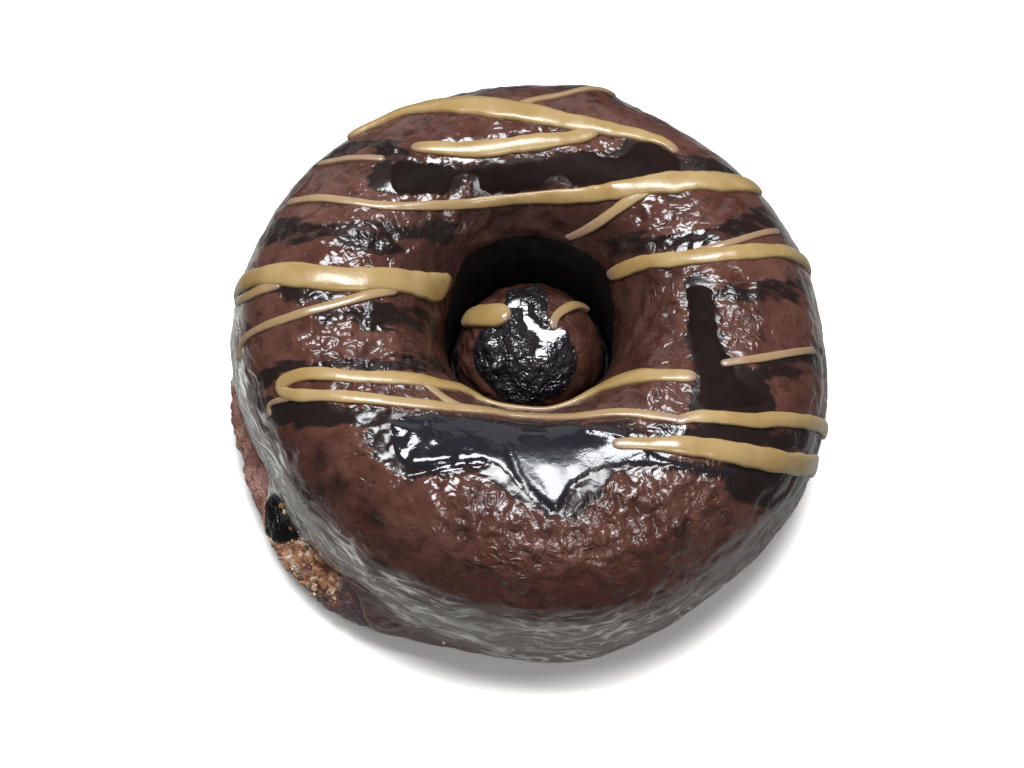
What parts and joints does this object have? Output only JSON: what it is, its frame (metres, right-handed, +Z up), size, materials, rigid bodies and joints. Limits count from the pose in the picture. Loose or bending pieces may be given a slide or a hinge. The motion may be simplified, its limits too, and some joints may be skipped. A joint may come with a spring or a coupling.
{
  "type": "protein doughnut",
  "caption": "Ring doughnut in a lumpy dark brown glaze with thick pale drizzle strands, and a glazed ball of dough resting in its hole.",
  "frame": {"origin": "under the middle of the outline seen from above, on the surface that the doughnut stands on", "axes": "+Z up through the hole, +Y to the back as the picture shows it, +X to the picture's right, along the drizzle strokes"},
  "size_m": [0.0948, 0.0928, 0.0373],
  "materials": {
    "baked_crust": "dull baked crust, reddish brown to golden, crumbly and finely pitted",
    "brown_glaze": "set chocolate glaze, medium brown, glossy over a dimpled and wrinkled skin",
    "dark_chocolate": "very dark chocolate glaze, almost black, smooth and wet looking",
    "nut_drizzle": "set nut butter drizzle, pale tan, satin with soft highlights"
  },
  "bodies": {
    "root": {"dough_ring": "baked_crust", "glaze_coat": "brown_glaze", "centre_ball": "brown_glaze"}
  },
  "joints": []
}
